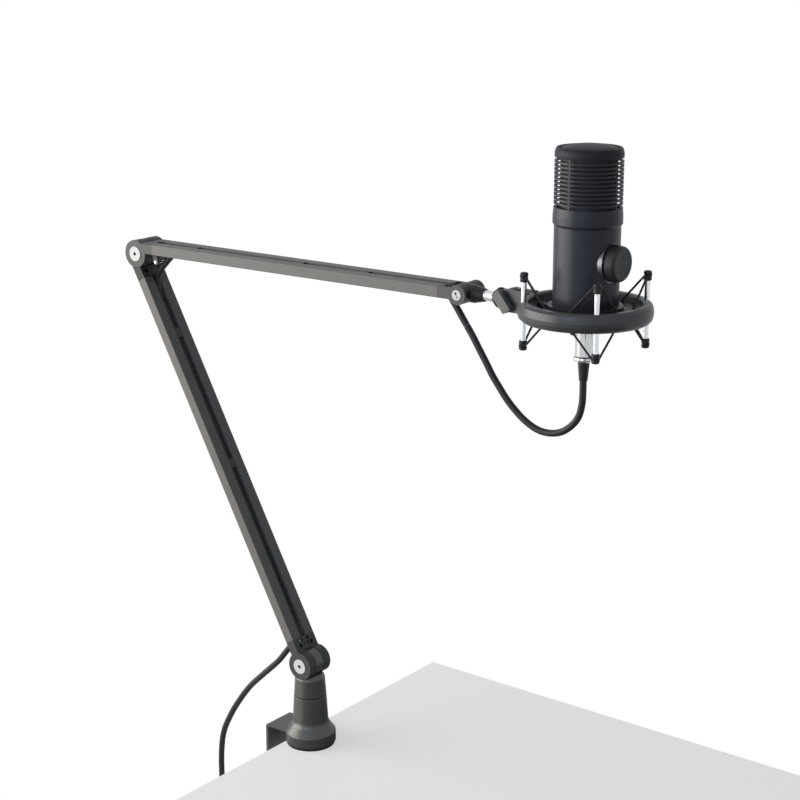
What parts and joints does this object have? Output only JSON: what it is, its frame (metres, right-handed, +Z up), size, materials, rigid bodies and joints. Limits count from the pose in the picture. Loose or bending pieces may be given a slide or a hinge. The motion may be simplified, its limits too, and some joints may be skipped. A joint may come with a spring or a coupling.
{
  "type": "condenser microphone on boom arm",
  "caption": "Side-address condenser microphone in an elastic shock mount on a two-section sprung boom arm with desk clamp, swivel base and microphone cable.",
  "frame": {"origin": "centre of the underside of the clamp's collar, on the desk top", "axes": "+X forward along the arm towards the microphone, +Y along the arm's hinge pins, +Z up"},
  "size_m": [0.596, 0.1152, 0.8901],
  "materials": {
    "painted_steel": "satin powder coat",
    "post_paint": "satin powder coat",
    "rubber": "matt",
    "steel": "bright",
    "nylon": "matt",
    "tee_paint": "satin",
    "cable_jacket": "satin",
    "plug_chrome": "polished",
    "ring_paint": "satin powder coat",
    "arm_paint": "satin, sides catch the light",
    "spring_steel": "bright wire",
    "clip_plastic": "matt",
    "hub_zinc": "satin",
    "head_paint": "satin",
    "post_chrome": "polished",
    "cap_rubber": "satin",
    "elastic": "braided",
    "cradle_plastic": "matt",
    "wing_paint": "satin",
    "mic_paint": "satin",
    "grille_paint": "satin",
    "mesh_steel": "woven",
    "capsule_brass": "gold film",
    "saddle_plastic": "matt",
    "board": "solder mask",
    "knob_plastic": "satin"
  },
  "bodies": {
    "clamp": {"clamp_bracket": "painted_steel", "base_riser": "post_paint", "riser_pad": "rubber", "bracket_bolt": "steel", "swivel_bush": "nylon"},
    "foot": {"clamp_foot": "painted_steel", "foot_pad": "rubber"},
    "screw": {"clamp_screw": "steel", "tee_bar": "tee_paint"},
    "post": {"swivel_post": "post_paint", "cable_rear": "cable_jacket", "cable_coil": "cable_jacket", "coil_tie": "nylon", "line_plug": "plug_chrome"},
    "lower_arm": {"lower_tube": "arm_paint", "lower_base_end": "arm_paint", "lower_elbow_end": "arm_paint", "lower_springs": "spring_steel", "lower_spring_pins": "steel", "lower_clips": "clip_plastic", "base_pivot_pin": "steel", "base_hubs": "hub_zinc", "cable_lower": "cable_jacket"},
    "upper_arm": {"upper_tube": "arm_paint", "upper_elbow_end": "arm_paint", "upper_head_end": "arm_paint", "upper_springs": "spring_steel", "upper_spring_pins": "steel", "upper_clips": "clip_plastic", "elbow_pivot_pin": "steel", "elbow_hubs": "hub_zinc", "head_pivot_pin": "steel", "head_hubs": "hub_zinc", "cable_upper": "cable_jacket", "cable_elbow": "cable_jacket", "cable_drop": "cable_jacket"},
    "head": {"head_knuckle": "head_paint", "head_stud": "steel", "thread_socket": "head_paint", "cable_loop": "cable_jacket"},
    "mount": {"shock_ring": "ring_paint", "ring_posts": "post_chrome", "post_caps": "cap_rubber", "elastic_cords": "elastic", "cradle": "cradle_plastic", "cradle_nut": "cradle_plastic", "mic_body": "mic_paint", "grille": "grille_paint", "grille_cap": "grille_paint", "mesh_liner": "mesh_steel", "capsule": "capsule_brass", "capsule_saddle": "saddle_plastic", "circuit_board": "board", "mic_base": "mic_paint", "knob_bezel": "mic_paint", "plug_shell": "plug_chrome", "plug_boot": "cable_jacket"},
    "wing": {"wing_knob": "wing_paint"},
    "knob": {"gain_knob": "knob_plastic"}
  },
  "joints": [
    {"name": "foot_slide", "type": "slide", "parent": "clamp", "child": "foot", "axis": [0, 0, 1], "range_m": [-0.018, 0.018]},
    {"name": "screw_turn", "type": "hinge", "parent": "foot", "child": "screw", "pos_m": [0, 0, -0.036], "axis": [0, 0, 1], "range_deg": [-3240, 3240]},
    {"name": "base_swivel", "type": "hinge", "parent": "clamp", "child": "post", "pos_m": [0, 0, 0.052], "axis": [0, 0, 1], "range_deg": [-180, 180]},
    {"name": "shoulder", "type": "hinge", "parent": "post", "child": "lower_arm", "pos_m": [0, 0, 0.087], "axis": [0, 1, 0], "range_deg": [-30, 45], "deforming": ["cable_rear"]},
    {"name": "elbow", "type": "hinge", "parent": "lower_arm", "child": "upper_arm", "pos_m": [-0.21239, 0, 0.48145], "axis": [0, 1, 0], "range_deg": [-85, 25], "deforming": ["cable_elbow"]},
    {"name": "head_tilt", "type": "hinge", "parent": "upper_arm", "child": "head", "pos_m": [0.18952, 0, 0.48987], "axis": [0, 1, 0], "range_deg": [-45, 60], "deforming": ["cable_drop", "cable_loop"]},
    {"name": "mount_tilt", "type": "hinge", "parent": "head", "child": "mount", "pos_m": [0.23652, 0, 0.48987], "axis": [0, 1, 0], "range_deg": [-45, 45], "deforming": ["cable_loop"]},
    {"name": "wing_turn", "type": "hinge", "parent": "mount", "child": "wing", "pos_m": [0.23652, 0, 0.48987], "axis": [0, 1, 0], "range_deg": [-180, 0]},
    {"name": "gain_turn", "type": "hinge", "parent": "mount", "child": "knob", "pos_m": [0.31202, 0, 0.5335], "axis": [0.9986, -0.0523, 0], "range_deg": [-140, 140]}
  ],
  "couplings": [
    {"joint": "screw_turn", "follows": "foot_slide", "rad_per_m": 3141.6}
  ]
}
